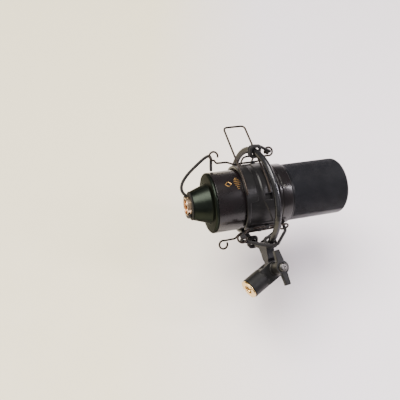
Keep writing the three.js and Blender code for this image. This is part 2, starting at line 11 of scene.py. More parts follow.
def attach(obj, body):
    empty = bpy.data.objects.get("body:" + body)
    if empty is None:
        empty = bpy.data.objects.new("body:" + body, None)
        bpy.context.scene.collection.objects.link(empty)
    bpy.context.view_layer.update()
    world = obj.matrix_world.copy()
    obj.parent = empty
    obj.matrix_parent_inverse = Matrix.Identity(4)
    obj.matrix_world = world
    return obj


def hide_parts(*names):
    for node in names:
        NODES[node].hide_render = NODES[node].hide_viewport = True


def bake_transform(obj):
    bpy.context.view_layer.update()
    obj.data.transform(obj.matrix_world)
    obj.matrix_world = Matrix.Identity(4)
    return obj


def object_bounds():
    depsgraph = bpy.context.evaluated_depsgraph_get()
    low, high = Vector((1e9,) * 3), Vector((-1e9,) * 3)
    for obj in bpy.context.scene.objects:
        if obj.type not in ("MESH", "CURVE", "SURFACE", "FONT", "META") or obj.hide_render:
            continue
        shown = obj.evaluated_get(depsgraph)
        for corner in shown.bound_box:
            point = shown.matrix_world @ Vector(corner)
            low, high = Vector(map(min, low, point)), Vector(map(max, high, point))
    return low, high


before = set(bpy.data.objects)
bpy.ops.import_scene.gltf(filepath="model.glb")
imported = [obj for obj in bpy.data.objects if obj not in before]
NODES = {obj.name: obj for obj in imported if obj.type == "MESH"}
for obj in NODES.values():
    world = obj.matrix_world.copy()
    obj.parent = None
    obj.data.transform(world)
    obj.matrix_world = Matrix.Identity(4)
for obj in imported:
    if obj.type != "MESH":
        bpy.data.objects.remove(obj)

CAD_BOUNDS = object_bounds()
MM = 0.001

# -------------------- driving dimensions, millimetres

GAP = 0.3
PIVOT_REACH = 32.4
FORK_ROLL = 25.5
SWIVEL_BEND = 66
FLANGE_THICKNESS = 1.6
FLANGE_RADIUS = 9.1
ADAPTER_RADIUS = 7.9
ADAPTER_LENGTH = 11.5
STAND_THREAD_RADIUS = 4.4
THREAD_PITCH = 1.59
BOLT_RADIUS = 2.9
EAR_OUTSIDE = 8.6
LEVER_ANGLE = 161

RING_TO_PIVOT = 73.3
RING_OUTSIDE = 52.2
RING_RADIAL = 6.6
RING_AXIAL = 6.2

CRADLE_RISE = 1.5
CRADLE_DROP = -5.5
CRADLE_TILT_X = -4.7
CRADLE_TILT_Y = -2.35
HINGE_ANGLE = -18
HINGE_RADIUS = 35.6
PIN_RADIUS = 1.2
KNUCKLE_RADIUS = 2.6
PAD_INSIDE = 30.3
PAD_OUTSIDE = 31.0
FRONT_JAW_TO = 186
REAR_JAW_TO = 158
JAW_OUTSIDE = 33.7
JAW_LOW = -13.5
JAW_HIGH = 16.5
WIRE = 1.0
WIRE_SIDES = 12
WIRE_TRACK = JAW_OUTSIDE + GAP + WIRE
CURL_RADIUS = 4.2
CURL_ANGLE = 285
ELASTIC = 1.45
ELASTIC_OVER = RING_OUTSIDE + GAP + ELASTIC
ELASTIC_UNDER = RING_OUTSIDE - RING_RADIAL - GAP - ELASTIC
ELASTIC_PAST = RING_AXIAL / 2 + GAP + ELASTIC

SHOULDER_TO_CRADLE = 43
FRONT_ANGLE = 82
BODY_RADIUS = 30
TUBE_START = 3.3
TUBE_END = 64.2
TUBE_WALL = 1.8
COLLAR_BORE = 27.6
COLLAR_END = 78
HEAD_RADIUS = 29
HEAD_FILLET = 3.5
HEAD_END = 140.5
HEAD_START = COLLAR_END + GAP
HEAD_WALL = 1.8
GRILLE_START = HEAD_START + 2.6
FRAME_HALF_WIDTH = 6.8
CONE_BASE = 20
CONE_END_RADIUS = 14
CONE_LENGTH = 16.8
BARREL_RADIUS = 8.8
BARREL_BORE = 8.0
BARREL_END = -22


# -------------------- frames

def shift(x, y, z):
    return Matrix.Translation((x, y, z))


def turn(axis, degrees):
    return Matrix.Rotation(math.radians(degrees), 4, axis)


# Z is the swivel's hinge axis, and the socket runs towards -Y.
SWIVEL = shift(0, PIVOT_REACH, 0) @ turn("Y", FORK_ROLL)
CLAMP = SWIVEL @ turn("Z", LEVER_ANGLE)
# Z is the ring's axis towards the head, and the neck is at -X.
RING = SWIVEL @ turn("Z", 90 + SWIVEL_BEND) @ shift(RING_TO_PIVOT, 0, 0) @ turn("X", 90)
# Z is the microphone's axis.
CRADLE = (RING @ shift(CRADLE_RISE, 0, CRADLE_DROP)
          @ turn("X", CRADLE_TILT_X) @ turn("Y", CRADLE_TILT_Y))
JAWS = CRADLE @ turn("Z", HINGE_ANGLE)
# Z runs from the shoulder to the head, and +X is the address side.
MIC = CRADLE @ shift(0, 0, -SHOULDER_TO_CRADLE) @ turn("Z", FRONT_ANGLE)


def polar(radius, degrees, z):
    angle = math.radians(degrees)
    return Vector((radius * math.cos(angle), radius * math.sin(angle), z))


# -------------------- camera, floor and light

# Azimuth 49.5 and elevation 55, with the object right of the middle.
CAMERA_RIGHT = Vector((0.6494, 0.7604, 0))
CAMERA_UP = Vector((-0.6229, 0.5320, 0.5736))
CAMERA_PLACE = (0.0948, -0.1413, 0.3829)
FOCAL_LENGTH = 38.6

# The object hangs on its stand's arm, clear of the floor at every tilt.
FLOOR_DROP = 0.062
WINDOW_DIRECTION = Vector((0.34, 0.17, -0.92))
WINDOW_SPREAD = 45
WINDOW_STRENGTH = 7.2
SKY_COLOR = (0.97, 0.96, 1.0, 1)
SKY_STRENGTH = 0.3


def make_camera():
    back = CAMERA_RIGHT.cross(CAMERA_UP)
    data = bpy.data.cameras.new("camera")
    data.sensor_width = 36
    data.lens = FOCAL_LENGTH
    data.clip_start = 0.01
    camera = bpy.data.objects.new("camera", data)
    basis = Matrix((CAMERA_RIGHT, CAMERA_UP, back)).transposed().to_4x4()
    camera.matrix_world = shift(*CAMERA_PLACE) @ basis
    bpy.context.scene.collection.objects.link(camera)
    bpy.context.scene.camera = camera


def area_light(name, where, aim, size, watts, color):
    data = bpy.data.lights.new(name, "AREA")
    data.shape = "RECTANGLE"
    data.size, data.size_y = size
    data.energy = watts
    data.color = color
    lamp = bpy.data.objects.new(name, data)
    lamp.location = where
    lamp.rotation_euler = (Vector(aim) - Vector(where)).to_track_quat("-Z", "Y").to_euler()
    bpy.context.scene.collection.objects.link(lamp)


def make_studio():
    low, high = (Vector(corner) for corner in CAD_BOUNDS)
    middle = (low + high) / 2
    world = bpy.data.worlds.new("studio")
    world.use_nodes = True
    sky = world.node_tree.nodes["Background"]
    sky.inputs["Color"].default_value = SKY_COLOR
    sky.inputs["Strength"].default_value = SKY_STRENGTH
    bpy.context.scene.world = world
    sun = bpy.data.lights.new("window", "SUN")
    sun.energy = WINDOW_STRENGTH
    sun.angle = math.radians(WINDOW_SPREAD)
    sun.color = (1.0, 0.96, 0.9)
    lamp = bpy.data.objects.new("window", sun)
    lamp.rotation_euler = WINDOW_DIRECTION.to_track_quat("-Z", "Y").to_euler()
    bpy.context.scene.collection.objects.link(lamp)
    strip = middle + Vector((0.50, 0.40, 0.60))
    area_light("strip", strip, middle, (0.06, 0.5), 5.0, (1.0, 0.93, 1.0))
    fill = middle + Vector((0.45, -0.60, 0.60))
    area_light("fill", fill, middle, (0.8, 0.5), 0.8, (0.98, 0.93, 1.0))
    bpy.ops.mesh.primitive_plane_add(size=16, location=(middle.x, middle.y, low.z - FLOOR_DROP))
    floor = bpy.context.object
    floor.name = "floor"
    floor.data.materials.append(floor_material())


# -------------------- materials

class Recipe:
    """A node tree in the making, with short ways to add what the finishes share."""

    def __init__(self, name):
        self.material = bpy.data.materials.new(name)
        self.material.use_nodes = True
        self.tree = self.material.node_tree
        self.shader = self.tree.nodes["Principled BSDF"]
        self.place = self.tree.nodes.new("ShaderNodeTexCoord").outputs["Object"]
        self.height = None

    def node(self, kind, **settings):
        made = self.tree.nodes.new(kind)
        for key, value in settings.items():
            setattr(made, key, value)
        return made

    def link(self, source, target):
        self.tree.links.new(source, target)

    def stretched(self, scale):
        mapping = self.node("ShaderNodeMapping")
        mapping.inputs["Scale"].default_value = scale
        self.link(self.place, mapping.inputs["Vector"])
        return mapping.outputs["Vector"]

    def noise(self, size_mm, detail=3.0, rough=0.55, vector=None):
        made = self.node("ShaderNodeTexNoise")
        made.inputs["Scale"].default_value = 1 / (size_mm * MM)
        made.inputs["Detail"].default_value = detail
        made.inputs["Roughness"].default_value = rough
        self.link(vector or self.place, made.inputs["Vector"])
        return made.outputs["Fac"]

    def ramp(self, value, stops):
        made = self.node("ShaderNodeValToRGB")
        points = made.color_ramp.elements
        while len(points) < len(stops):
            points.new(0.5)
        for point, (at, color) in zip(points, stops):
            point.position = at
            point.color = (*color, 1)
        self.link(value, made.inputs["Fac"])
        return made.outputs["Color"]

    def scaled(self, value, low, high, start=0.3, stop=0.7):
        made = self.node("ShaderNodeMapRange")
        made.inputs["From Min"].default_value = start
        made.inputs["From Max"].default_value = stop
        made.inputs["To Min"].default_value = low
        made.inputs["To Max"].default_value = high
        self.link(value, made.inputs["Value"])
        return made.outputs["Result"]

    def mix(self, share, first, second):
        # Colours go in at sockets 6 and 7 and come out at 2.
        made = self.node("ShaderNodeMix", data_type="RGBA")
        self.link(share, made.inputs["Factor"])
        self.link(first, made.inputs[6])
        if isinstance(second, tuple):
            made.inputs[7].default_value = (*second, 1)
        else:
            self.link(second, made.inputs[7])
        return made.outputs[2]

    def edges(self):
        return self.node("ShaderNodeNewGeometry").outputs["Pointiness"]

    def bump(self, value, strength, depth_mm):
        made = self.node("ShaderNodeBump")
        made.inputs["Strength"].default_value = strength
        made.inputs["Distance"].default_value = depth_mm * MM
        self.link(value, made.inputs["Height"])
        if self.height:
            self.link(self.height, made.inputs["Normal"])
        self.height = made.outputs["Normal"]

    def set(self, **constants):
        names = {"metallic": "Metallic", "coat": "Coat Weight", "coat_roughness": "Coat Roughness",
                 "specular": "Specular IOR Level", "sheen": "Sheen Weight"}
        for key, value in constants.items():
            self.shader.inputs[names[key]].default_value = value

    def finish(self, color, roughness):
        self.link(color, self.shader.inputs["Base Color"])
        self.link(roughness, self.shader.inputs["Roughness"])
        if self.height:
            self.link(self.height, self.shader.inputs["Normal"])
        return self.material


def floor_material():
    """Matt paper, cream at one side of the picture and cooler at the other."""
    recipe = Recipe("floor")
    split = recipe.node("ShaderNodeSeparateXYZ")
    recipe.link(recipe.stretched((0.65, 0.76, 0)), split.inputs[0])
    across = recipe.node("ShaderNodeMath", operation="ADD")
    recipe.link(split.outputs["X"], across.inputs[0])
    recipe.link(split.outputs["Y"], across.inputs[1])
    drift = recipe.scaled(across.outputs[0], 0.0, 1.0, -0.16, 0.05)
    tint = recipe.ramp(drift, [(0.0, (0.97, 0.88, 0.63)), (1.0, (0.93, 0.87, 0.92))])
    recipe.bump(recipe.noise(3.0, 4.0), 0.05, 0.2)
    return recipe.finish(tint, recipe.scaled(recipe.noise(40), 0.55, 0.7))


def coated(name, colors, roughness, grain_mm, grain, metallic=0.0, coat=0.0, specular=0.32,
           grazing=(1, 1, 1), worn=None):
    """Paint, lacquer or powder coat: drifting tint, uneven gloss, fine grain and worn edges."""
    recipe = Recipe(name)
    tint = recipe.ramp(recipe.noise(26, 4.0), [(0.32, colors[0]), (0.68, colors[1])])
    if worn:
        edge = recipe.edges()
        patchy = recipe.node("ShaderNodeMath", operation="MULTIPLY")
        recipe.link(recipe.scaled(edge, 0.0, 1.0, 0.53, 0.62), patchy.inputs[0])
        recipe.link(recipe.scaled(recipe.noise(3.5, 5.0), 0.0, 0.8, 0.42, 0.7), patchy.inputs[1])
        tint = recipe.mix(patchy.outputs[0], tint, worn)
    recipe.bump(recipe.noise(grain_mm, 2.0), grain, 0.05)
    recipe.set(metallic=metallic, coat=coat, coat_roughness=0.15, specular=specular)
    recipe.shader.inputs["Specular Tint"].default_value = (*grazing, 1)
    return recipe.finish(tint, recipe.scaled(recipe.noise(9, 5.0), *roughness))


def bare_metal(name, colors, roughness, streak):
    """Turned or drawn metal, with fine streaks and a little tarnish."""
    recipe = Recipe(name)
    tint = recipe.ramp(recipe.noise(2.4, 5.0), [(0.3, colors[0]), (0.7, colors[1])])
    fine = recipe.noise(0.35, 3.0, vector=recipe.stretched(streak))
    recipe.bump(fine, 0.12, 0.02)
    recipe.set(metallic=1.0)
    return recipe.finish(tint, recipe.scaled(recipe.noise(1.2, 4.0), *roughness))


def moulded(name, colors, roughness, grain_mm, worn):
    """Moulded plastic or rubber: a fine pebbled grain and paler rubbed edges."""
    recipe = Recipe(name)
    tint = recipe.ramp(recipe.noise(6, 4.0), [(0.3, colors[0]), (0.7, colors[1])])
    edge = recipe.edges()
    tint = recipe.mix(recipe.scaled(edge, 0.0, 0.6, 0.53, 0.64), tint, worn)
    cells = recipe.node("ShaderNodeTexVoronoi", feature="SMOOTH_F1")
    cells.inputs["Scale"].default_value = 1 / (grain_mm * MM)
    recipe.link(recipe.place, cells.inputs["Vector"])
    recipe.bump(cells.outputs["Distance"], 0.22, 0.06)
    recipe.bump(recipe.noise(2.5, 3.0), 0.08, 0.1)
    recipe.set(specular=0.22)
    return recipe.finish(tint, recipe.scaled(recipe.noise(4, 4.0), *roughness))


def woven_cord(name):
    """A braided sleeve: dark yarn with paler flecks and a dusty sheen."""
    recipe = Recipe(name)
    fleck = recipe.noise(0.35, 3.0, 0.7)
    tint = recipe.ramp(fleck, [(0.35, (0.004, 0.0035, 0.004)), (0.62, (0.014, 0.0125, 0.013)),
                               (0.75, (0.04, 0.037, 0.037))])
    recipe.bump(recipe.noise(0.2, 3.0, 0.7), 0.5, 0.08)
    recipe.set(sheen=0.1, specular=0.3)
    return recipe.finish(tint, recipe.scaled(recipe.noise(1.5), 0.7, 0.92))


def board_material():
    """Green solder mask over tracks, as rounded cells with a lighter copper edge."""
    recipe = Recipe("board")
    cells = recipe.node("ShaderNodeTexVoronoi", feature="DISTANCE_TO_EDGE", distance="EUCLIDEAN")
    cells.inputs["Scale"].default_value = 220
    recipe.link(recipe.place, cells.inputs["Vector"])
    edge = cells.outputs["Distance"]
    tint = recipe.ramp(edge, [(0.03, (0.02, 0.09, 0.045)), (0.07, (0.05, 0.20, 0.10)),
                              (0.3, (0.03, 0.13, 0.07))])
    recipe.bump(edge, 0.3, 0.04)
    return recipe.finish(tint, recipe.scaled(recipe.noise(5), 0.3, 0.5))


LACQUER = coated("lacquer_black", [(0.0034, 0.0026, 0.0029), (0.0062, 0.0034, 0.004)],
                 (0.25, 0.33), 2.2, 0.02, coat=0.25)
POWDER = coated("powder_black", [(0.0026, 0.0028, 0.0038), (0.0046, 0.0048, 0.006)],
                (0.3, 0.4), 0.25, 0.08, specular=0.25, worn=(0.05, 0.046, 0.044))
RING_COAT = coated("ring_black", [(0.040, 0.040, 0.043), (0.058, 0.058, 0.062)],
                   (0.2, 0.28), 0.6, 0.03, metallic=0.85, coat=0.25, grazing=(0.2, 0.2, 0.22))
JAW_COAT = coated("jaw_black", [(0.0062, 0.006, 0.0064), (0.0105, 0.01, 0.0105)],
                  (0.27, 0.37), 0.25, 0.07, specular=0.26, worn=(0.06, 0.057, 0.055))
TAIL_PAINT = coated("tail_green_black", [(0.0130, 0.0162, 0.0130), (0.0210, 0.0248, 0.0200)],
                    (0.28, 0.38), 0.3, 0.06, metallic=0.85, grazing=(0.25, 0.27, 0.25),
                    worn=(0.06, 0.066, 0.055))
GRILLE_WIRE = coated("grille_wire", [(0.0042, 0.0046, 0.0076), (0.0076, 0.0082, 0.0124)],
                     (0.45, 0.6), 0.3, 0.1, metallic=0.2)
GRILLE_LINING = coated("grille_lining", [(0.006, 0.0065, 0.009), (0.01, 0.011, 0.014)],
                       (0.7, 0.9), 0.25, 0.5)
SPRING_WIRE = coated("spring_wire", [(0.018, 0.0135, 0.011), (0.034, 0.025, 0.02)],
                     (0.26, 0.42), 0.6, 0.06, metallic=0.6)
PLASTIC = moulded("moulded_black", [(0.0045, 0.0045, 0.0048), (0.008, 0.0078, 0.0078)],
                  (0.42, 0.56), 0.35, (0.035, 0.034, 0.033))
RUBBER = moulded("rubber_black", [(0.008, 0.008, 0.0085), (0.014, 0.0135, 0.013)],
                 (0.68, 0.85), 0.5, (0.03, 0.03, 0.03))
CORD = woven_cord("elastic_sleeve")
BRASS = bare_metal("brass", [(0.62, 0.42, 0.17), (0.78, 0.56, 0.27)], (0.2, 0.36), (1, 14, 1))
GOLD = bare_metal("gold_plate", [(0.64, 0.44, 0.28), (0.86, 0.65, 0.46)], (0.12, 0.24), (1, 1, 9))
STEEL = bare_metal("zinc_steel", [(0.22, 0.22, 0.23), (0.36, 0.36, 0.36)], (0.3, 0.45), (1, 9, 1))
DARK_STEEL = bare_metal("dark_steel", [(0.06, 0.058, 0.056), (0.11, 0.105, 0.1)],
                        (0.28, 0.42), (9, 1, 1))
FILM = bare_metal("film_gold", [(0.75, 0.56, 0.2), (0.88, 0.7, 0.32)], (0.12, 0.22), (1, 1, 1))
INLAY = bare_metal("inlay_gold", [(0.62, 0.34, 0.1), (0.78, 0.46, 0.16)], (0.3, 0.42), (1, 1, 1))
BOARD = board_material()


# -------------------- meshes

SHARP_ANGLE = 42
ARC_STEP = 3.0


class Shape:
    """Points and faces in one of the millimetre frames."""

    def __init__(self):
        self.points = []
        self.faces = []

    def add(self, points, faces):
        start = len(self.points)
        self.points.extend(Vector(p) for p in points)
        self.faces.extend([start + i for i in face] for face in faces)
        return self

    def join(self, other):
        return self.add(other.points, other.faces)

    def moved(self, matrix):
        self.points = [matrix @ p for p in self.points]
        return self


def band_faces(rings, sides, closed):
    """Quads between neighbouring rings of points, and end caps where the band isn't closed."""
    faces = []
    for i in range(rings if closed else rings - 1):
        here, there = i * sides, ((i + 1) % rings) * sides
        for k in range(sides):
            beside = (k + 1) % sides
            faces.append((here + k, here + beside, there + beside, there + k))
    if not closed:
        faces.append(list(range(sides))[::-1])
        faces.append([(rings - 1) * sides + k for k in range(sides)])
    return faces


def eased(points, radius, steps, closed=False):
    """A polyline with each corner replaced by a bend."""
    points = [Vector(p) for p in points]
    count = len(points)
    result = []
    for i, corner in enumerate(points):
        if not closed and i in (0, count - 1):
            result.append(corner)
            continue
        before, after = points[i - 1] - corner, points[(i + 1) % count] - corner
        if before.length < 1e-6 or after.length < 1e-6:
            continue
        reach = min(radius, before.length * 0.45, after.length * 0.45)
        start, end = corner + before.normalized() * reach, corner + after.normalized() * reach
        for k in range(steps + 1):
            t = k / steps
            result.append(start * (1 - t) ** 2 + corner * 2 * t * (1 - t) + end * t * t)
    return result


def flat(outline, fillet, steps, closed=True):
    return eased([Vector((x, y, 0)) for x, y in outline], fillet, steps, closed)


def lathe(profile, fillet, segments, steps=4):
    """A closed [radius, height] outline turned about Z, with its corners eased."""
    outline = flat(profile, fillet, steps)
    points = []
    for i in range(segments):
        angle = 2 * math.pi * i / segments
        points.extend((p.x * math.cos(angle), p.x * math.sin(angle), p.y) for p in outline)
    return Shape().add(points, band_faces(segments, len(outline), True))


def arc(profile, first, last, fillet):
    """A closed [radius, height] outline turned part of the way about Z."""
    outline = flat(profile, fillet, 4)
    count = max(2, round((last - first) / ARC_STEP))
    points = []
    for i in range(count + 1):
        points.extend(polar(p.x, first + (last - first) * i / count, p.y) for p in outline)
    return Shape().add(points, band_faces(count + 1, len(outline), False))


def button(profile, fillet, segments, steps=3):
    """A turned solid that reaches the axis at both ends."""
    ring = [p for p in flat(profile, fillet, steps, closed=False) if p.x > 1e-6]
    points = []
    for p in ring:
        for i in range(segments):
            angle = 2 * math.pi * i / segments
            points.append((p.x * math.cos(angle), p.x * math.sin(angle), p.y))
    return Shape().add(points, band_faces(len(ring), segments, False))


def prism(outline, low, high):
    """An outline in XY pulled up from low to high."""
    points = [(x, y, z) for z in (low, high) for x, y in outline]
    return Shape().add(points, band_faces(2, len(outline), False))


def splined(points, spacing):
    """A smooth curve through the points, with a point about every spacing."""
    points = [Vector(p) for p in points]
    ends = [points[0] * 2 - points[1]] + points + [points[-1] * 2 - points[-2]]
    result = []
    for i in range(1, len(ends) - 2):
        a, b, c, d = ends[i - 1:i + 3]
        steps = max(2, round((c - b).length / spacing))
        for k in range(steps):
            t = k / steps
            result.append(0.5 * (2 * b + (c - a) * t + (2 * a - 5 * b + 4 * c - d) * t * t
                                 + (3 * b - a - 3 * c + d) * t ** 3))
    result.append(points[-1])
    return result


def resampled(points, spacing):
    """The same route with its points evenly spaced."""
    lengths = [0.0]
    for a, b in zip(points, points[1:]):
        lengths.append(lengths[-1] + (b - a).length)
    count = max(2, round(lengths[-1] / spacing))
    result, k = [], 0
    for i in range(count + 1):
        target = lengths[-1] * i / count
        while k < len(points) - 2 and lengths[k + 1] < target:
            k += 1
        t = (target - lengths[k]) / (lengths[k + 1] - lengths[k] or 1)
        result.append(points[k].lerp(points[k + 1], min(1, max(0, t))))
    return result


def sweep(route, radius, sides, surface=None, closed=False):
    """A round-ended tube along a route. surface(angle, way) scales its radius."""
    route = [Vector(p) for p in route]
    count = len(route)
    tangents = []
    for i in range(count):
        ahead = route[(i + 1) % count] if closed else route[min(i + 1, count - 1)]
        behind = route[i - 1] if closed else route[max(i - 1, 0)]
        tangents.append((ahead - behind).normalized())
    normal = tangents[0].orthogonal().normalized()
    stations = []
    way = 0.0
    for i, (spot, tangent) in enumerate(zip(route, tangents)):
        normal = (normal - tangent * normal.dot(tangent)).normalized()
        way += (spot - route[i - 1]).length if i else 0.0
        stations.append((spot, normal.copy(), tangent.cross(normal), 1.0, way))
    if not closed:
        stations = round_end(stations, tangents[0], radius, True) + stations
        stations += round_end(stations, tangents[-1], radius, False)
    points = []
    for spot, across, other, share, way in stations:
        for k in range(sides):
            angle = 2 * math.pi * k / sides
            size = radius * share * (surface(angle, way) if surface else 1)
            points.append(spot + across * size * math.cos(angle) + other * size * math.sin(angle))
    return Shape().add(points, band_faces(len(stations), sides, closed))


def round_end(stations, tangent, radius, at_start):
    """Shrinking sections that close a tube with a dome."""
    spot, across, other, _, way = stations[0 if at_start else -1]
    side = -1 if at_start else 1
    dome = []
    for degrees in (25, 50, 70, 84):
        angle = math.radians(degrees)
        beyond = spot + tangent * side * radius * math.sin(angle)
        farther = way + side * radius * math.sin(angle)
        dome.append((beyond, across, other, math.cos(angle), farther))
    return dome[::-1] if at_start else dome


def braid(strands=7, lay=3.4, depth=0.055):
    """The surface of a braided sleeve: two crossing sets of ridges."""
    def surface(angle, way):
        lead = 2 * math.pi * way / lay
        return 1 + depth * math.sin(strands * angle + lead) * math.sin(strands * angle - lead)
    return surface


def build(name, shape, matrix, material, smooth=True):
    """A Blender object from a shape, in the scene's metres."""
    mesh = bpy.data.meshes.new(name)
    mesh.from_pydata([tuple((matrix @ p) * MM) for p in shape.points], [], shape.faces)
    mesh.materials.append(material)
    made = bpy.data.objects.new(name, mesh)
    bpy.context.scene.collection.objects.link(made)
    tidy_mesh(made, smooth)
    return made


def pick(made):
    bpy.ops.object.select_all(action="DESELECT")
    made.select_set(True)
    bpy.context.view_layer.objects.active = made


def tidy_mesh(made, smooth=True):
    """Turns faces outwards and shades them smooth up to a sharp angle."""
    pick(made)
    bpy.ops.object.mode_set(mode="EDIT")
    bpy.ops.mesh.select_all(action="SELECT")
    bpy.ops.mesh.normals_make_consistent(inside=False)
    bpy.ops.object.mode_set(mode="OBJECT")
    if smooth:
        bpy.ops.object.shade_smooth_by_angle(angle=math.radians(SHARP_ANGLE))


def apply_modifier(made, kind, **settings):
    modifier = made.modifiers.new(kind.lower(), kind)
    for key, value in settings.items():
        setattr(modifier, key, value)
    pick(made)
    bpy.ops.object.modifier_apply(modifier=modifier.name)


def carve(made, *shapes, matrix):
    for shape in shapes:
        tool = build("cutter", shape, matrix, made.data.materials[0], smooth=False)
        apply_modifier(made, "BOOLEAN", operation="DIFFERENCE", solver="EXACT", object=tool)
        bpy.data.objects.remove(tool)
    tidy_mesh(made)


def softened(node, name, material, voxel, rounds):
    """A fine copy of a cast or moulded CAD node, with its edges rounded over."""
    made = bpy.data.objects.new(name, NODES[node].data.copy())
    made.data.materials.clear()
    made.data.materials.append(material)
    bpy.context.scene.collection.objects.link(made)
    apply_modifier(made, "REMESH", mode="VOXEL", voxel_size=voxel * MM)
    apply_modifier(made, "SMOOTH", factor=0.5, iterations=rounds)
    for face in made.data.polygons:
        face.use_smooth = True
    return made


def fit(piece, body, slot, *nodes):
    """Rides a piece on its body and lets it stand for CAD nodes."""
    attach(piece, body)
    if nodes:
        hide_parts(*nodes)
    return piece


def on_mic(name, shape, material, slot, *nodes):
    return fit(build(name, shape, MIC, material), "microphone", slot, *nodes)


def dress(node, material):
    """Gives its finish to a CAD node that stays."""
    NODES[node].data.materials.clear()
    NODES[node].data.materials.append(material)


# -------------------- microphone body

def make_body():
    bore = BODY_RADIUS - TUBE_WALL
    tube = lathe([(bore, TUBE_START), (BODY_RADIUS, TUBE_START),
                  (BODY_RADIUS, TUBE_END), (bore, TUBE_END)], 0.35, 160)
    on_mic("body_shell", tube, LACQUER, "body_black", "body_tube")
    seat = BODY_RADIUS - 2.4
    cap = lathe([
        (CONE_END_RADIUS, -CONE_LENGTH), (CONE_BASE, 0), (BODY_RADIUS - 1.2, 0), (BODY_RADIUS, 1.2),
        (BODY_RADIUS, TUBE_START - GAP), (seat, TUBE_START - GAP), (seat, 2), (CONE_BASE - 1.6, 2),
        (CONE_END_RADIUS - 2, -CONE_LENGTH),
    ], 0.7, 160)
    on_mic("tail_cone", cap, TAIL_PAINT, "tail_green_black", "tail_cap")
    top = -CONE_LENGTH - GAP
    inside = BARREL_RADIUS + GAP
    outside = CONE_END_RADIUS + 0.3
    rim = lathe([
        (inside, top), (inside, top - 0.9), (CONE_END_RADIUS - 0.4, top - 0.9),
        (outside, top - 0.4), (outside, top),
    ], 0.25, 128)
    on_mic("tail_gasket", rim, RUBBER, "rubber_black", "tail_rim")


CONTACT_CIRCLE = 3.6


def make_connector():
    """The three-pin inlet: a plated barrel with a keyway, the insert and domed pins."""
    barrel = build("connector_barrel", lathe([
        (BARREL_BORE, BARREL_END), (BARREL_RADIUS, BARREL_END), (BARREL_RADIUS, -6),
        (BARREL_BORE, -6),
    ], 0.25, 96), MIC, GOLD)
    keyway = [(-1.4, 7.4), (1.4, 7.4), (1.4, 9.4), (-1.4, 9.4)]
    carve(barrel, prism(keyway, BARREL_END - 1, BARREL_END + 1.6), matrix=MIC)
    fit(barrel, "microphone", "contact_gold", "xlr_barrel")
    dress("xlr_insert", PLASTIC)
    for i, degrees in enumerate((0, 120, 240), start=1):
        spot = polar(CONTACT_CIRCLE, degrees, 0)
        pin = button([(0, -21), (1.2, -21), (1.2, -5), (0, -5)], 0.7, 24, 4)
        pin = pin.moved(shift(spot.x, spot.y, 0))
        on_mic(f"contact_{i}", pin, GOLD, "contact_gold", f"xlr_pin_{i}")


COLLAR_GROOVE = 67.5
SCREW_ANGLES = (8, 128, 248)
SCREW_HEIGHT = 71


def radial(degrees):
    """A frame in the microphone's whose Z points outwards through a collar screw."""
    return turn("Z", degrees) @ shift(0, 0, SCREW_HEIGHT) @ turn("Y", 90)


def make_collar():
    """The grooved ring between body and head, and its three socket screws."""
    low = TUBE_END + GAP
    outside = BODY_RADIUS + 0.6
    collar = build("collar", lathe([
        (COLLAR_BORE, low), (outside - 0.5, low), (outside, low + 0.5),
        (outside, COLLAR_GROOVE - 0.5), (outside - 0.7, COLLAR_GROOVE),
        (outside, COLLAR_GROOVE + 0.5), (outside, COLLAR_END - 0.8),
        (outside - 0.8, COLLAR_END), (COLLAR_BORE, COLLAR_END),
    ], 0.2, 160, 3), MIC, LACQUER)
    holes = [button([(0, 20), (1.9, 20), (1.9, 40), (0, 40)], 0.05, 32, 1).moved(radial(a))
             for a in SCREW_ANGLES]
    carve(collar, *holes, matrix=MIC)
    fit(collar, "microphone", "body_black", "collar_ring")
    for i, degrees in enumerate(SCREW_ANGLES, start=1):
        screw = button([(0, 27), (1.6, 27), (1.6, 30.3), (0, 30.3)], 0.3, 32, 4)
        made = build(f"grub_screw_{i}", screw.moved(radial(degrees)), MIC, DARK_STEEL)
        socket = [polar(0.95, 60 * k, 0).xy for k in range(6)]
        carve(made, prism(socket, 29.2, 31).moved(radial(degrees)), matrix=MIC)
        fit(made, "microphone", "fastener_steel", f"collar_screw_{i}")


def on_body(around, along):
    """A point on the body's surface: millimetres round it from the front, and height."""
    return polar(BODY_RADIUS + 0.02, math.degrees(around / BODY_RADIUS), along)


EMBLEM_AROUND = -5.6
DIAMOND_ALONG = 16.0
BARS_ALONG = 25.0
BAR_SPACING = 2.0


def make_emblem():
    """A generic inlay: an open diamond and a row of short bars."""
    diamond = [on_body(EMBLEM_AROUND + x, DIAMOND_ALONG + y)
               for x, y in ((0, -3.2), (2.7, 0), (0, 3.2), (-2.7, 0))]
    inlay = sweep(eased(diamond, 0.8, 6, closed=True), 0.32, 8, closed=True)
    for i, half in enumerate((1.2, 2.2, 2.8, 2.8, 2.2, 1.2, 0.7)):
        around = EMBLEM_AROUND + (i - 3) * BAR_SPACING
        bar = [on_body(around, BARS_ALONG - half), on_body(around, BARS_ALONG + half)]
        inlay.join(sweep(bar, 0.34, 8))
    on_mic("emblem", inlay, INLAY, "contact_gold")


# -------------------- head

def head_profile(inset):
    """(radius, height) from the grille's foot over the rounded edge, inset from the surface."""
    radius, corner, top = HEAD_RADIUS - inset, HEAD_FILLET - inset, HEAD_END - inset
    outline = [(radius, GRILLE_START), (radius, top - corner)]
    for i in range(1, 9):
        angle = math.radians(90 * i / 8)
        outline.append((radius - corner + corner * math.cos(angle),
                        top - corner + corner * math.sin(angle)))
    return outline


def along_profile(outline, way):
    """The point of an outline after a length of way."""
    for (r0, z0), (r1, z1) in zip(outline, outline[1:]):
        span = math.hypot(r1 - r0, z1 - z0)
        if way <= span:
            return r0 + (r1 - r0) * way / span, z0 + (z1 - z0) * way / span
        way -= span
    return outline[-1]


